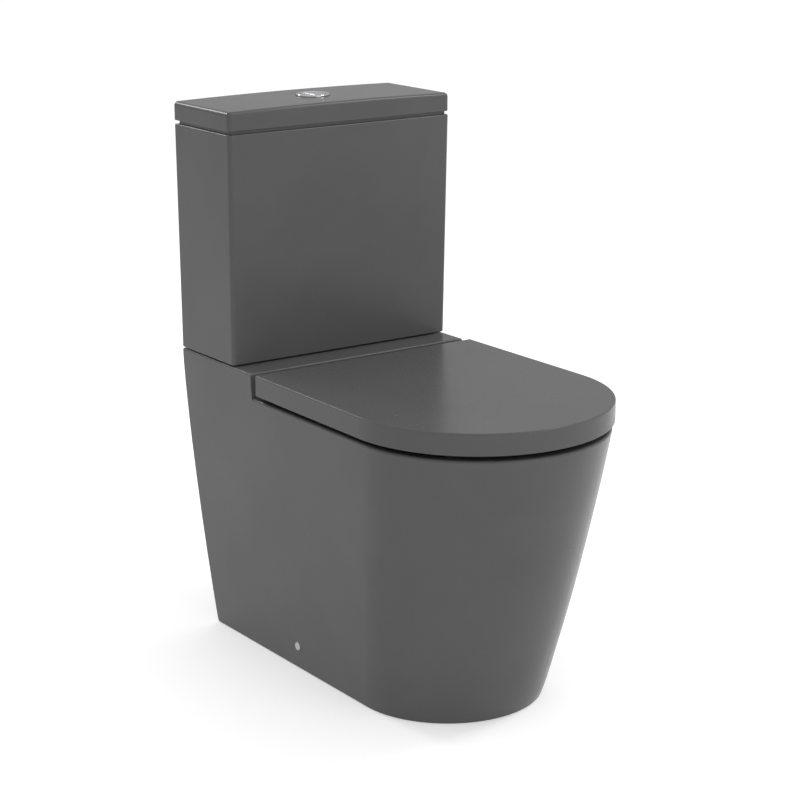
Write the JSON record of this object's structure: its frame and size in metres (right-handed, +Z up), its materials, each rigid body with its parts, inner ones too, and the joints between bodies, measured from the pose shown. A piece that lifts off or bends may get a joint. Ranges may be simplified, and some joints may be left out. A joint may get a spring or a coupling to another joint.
{
  "type": "close coupled toilet",
  "caption": "Back-to-wall close coupled toilet in matte dark grey, with D-shaped seat, wrap-over cover, slim rectangular cistern and round dual push button.",
  "frame": {"origin": "centre of the footprint at floor level", "axes": "+Z up, -Y towards the front of the pan, +Y towards the wall, +X across the width"},
  "size_m": [0.3746, 0.6518, 0.8006],
  "materials": {
    "glazed_body": "matte glazed vitreous china, dark grey",
    "seat_shell": "satin thermoset, dark grey",
    "bright_metal": "polished",
    "steel": "satin stainless",
    "spring_steel": "drawn wire",
    "black_rubber": "soft moulded",
    "foam_rubber": "closed-cell foam",
    "grey_bumper": "soft grey",
    "white_plastic": "moulded",
    "grey_plastic": "moulded",
    "blue_plastic": "moulded",
    "black_plastic": "moulded",
    "red_seal": "silicone",
    "nylon": "moulded nylon"
  },
  "bodies": {
    "root": {"pan": "glazed_body", "cistern_body": "glazed_body", "cistern_pads": "black_rubber", "flush_valve_body": "white_plastic", "lift_lever_axle": "steel", "flush_valve_washer": "black_rubber", "flush_valve_backnut": "black_plastic", "coupling_gasket": "foam_rubber", "coupling_bolts": "steel", "coupling_bolt_seals": "black_rubber", "coupling_bolt_washers": "steel", "coupling_wing_nuts": "nylon", "fill_valve_body": "white_plastic", "fill_valve_cap": "blue_plastic", "fill_valve_washer": "black_rubber", "fill_valve_backnut": "white_plastic", "inlet_blanking_plug": "white_plastic", "float_arm_pin": "steel", "hinge_base_plates": "bright_metal", "hinge_pillars": "bright_metal", "hinge_pins": "steel", "hinge_studs": "steel", "hinge_washers": "black_rubber", "hinge_wing_nuts": "nylon", "floor_brackets": "nylon", "side_screws": "steel", "side_screw_caps": "bright_metal"},
    "cistern_lid": {"cistern_lid": "glazed_body", "button_bezel": "bright_metal", "button_bush": "white_plastic", "button_ring_nut": "grey_plastic", "full_button_spring": "spring_steel", "half_button_spring": "spring_steel"},
    "full_button": {"full_flush_button": "bright_metal", "full_push_rod": "blue_plastic"},
    "half_button": {"half_flush_button": "bright_metal", "half_push_rod": "white_plastic"},
    "full_lever": {"full_lift_lever": "grey_plastic"},
    "half_lever": {"half_lift_lever": "grey_plastic"},
    "flush_tube": {"overflow_tube": "blue_plastic", "valve_seal": "red_seal"},
    "half_rod": {"half_flush_rod": "grey_plastic"},
    "float": {"float_cup": "grey_plastic", "float_link": "white_plastic"},
    "float_arm": {"float_arm": "blue_plastic"},
    "seat_ring": {"seat_ring": "seat_shell", "ring_buffers": "grey_bumper", "ring_damper": "black_plastic"},
    "seat_cover": {"seat_cover": "seat_shell", "cover_buffers": "grey_bumper", "cover_damper": "black_plastic"}
  },
  "joints": [
    {"name": "seat_ring_hinge", "type": "hinge", "parent": "root", "child": "seat_ring", "pos_m": [0, 0.1106, 0.424], "axis": [1, 0, 0], "range_deg": [-96, 0]},
    {"name": "seat_cover_hinge", "type": "hinge", "parent": "seat_ring", "child": "seat_cover", "pos_m": [0, 0.1106, 0.424], "axis": [-1, 0, 0], "range_deg": [0, 97]},
    {"name": "cistern_lid_lift", "type": "slide", "parent": "root", "child": "cistern_lid", "axis": [0, 0, 1], "range_m": [0, 0.15]},
    {"name": "full_button_press", "type": "slide", "parent": "cistern_lid", "child": "full_button", "axis": [0, 0, -1], "range_m": [0, 0.006], "stiffness_N_per_m": 250, "springref_m": -0.012, "deforming": ["full_button_spring"]},
    {"name": "half_button_press", "type": "slide", "parent": "cistern_lid", "child": "half_button", "axis": [0, 0, -1], "range_m": [0, 0.006], "stiffness_N_per_m": 250, "springref_m": -0.012, "deforming": ["half_button_spring"]},
    {"name": "full_lever_turn", "type": "hinge", "parent": "root", "child": "full_lever", "pos_m": [0.0125, 0.2416, 0.69], "axis": [-1, 0, 0], "range_deg": [0, 31]},
    {"name": "flush_tube_lift", "type": "slide", "parent": "root", "child": "flush_tube", "axis": [0, 0, 1], "range_m": [0, 0.0125]},
    {"name": "half_lever_turn", "type": "hinge", "parent": "root", "child": "half_lever", "pos_m": [-0.0125, 0.2416, 0.69], "axis": [-1, 0, 0], "range_deg": [0, 31]},
    {"name": "half_rod_lift", "type": "slide", "parent": "root", "child": "half_rod", "axis": [0, 0, 1], "range_m": [0, 0.0125]},
    {"name": "float_rise", "type": "slide", "parent": "root", "child": "float", "axis": [0, 0, 1], "range_m": [0, 0.01]},
    {"name": "float_arm_turn", "type": "hinge", "parent": "root", "child": "float_arm", "pos_m": [-0.135, 0.2346, 0.701], "axis": [0, -1, 0], "range_deg": [0, 18]}
  ],
  "couplings": [
    {"joint": "full_lever_turn", "follows": "full_button_press", "rad_per_m": 87.266},
    {"joint": "flush_tube_lift", "follows": "full_button_press", "ratio": 2},
    {"joint": "half_lever_turn", "follows": "half_button_press", "rad_per_m": 87.266},
    {"joint": "half_rod_lift", "follows": "half_button_press", "ratio": 2},
    {"joint": "float_arm_turn", "follows": "float_rise", "rad_per_m": 30}
  ]
}
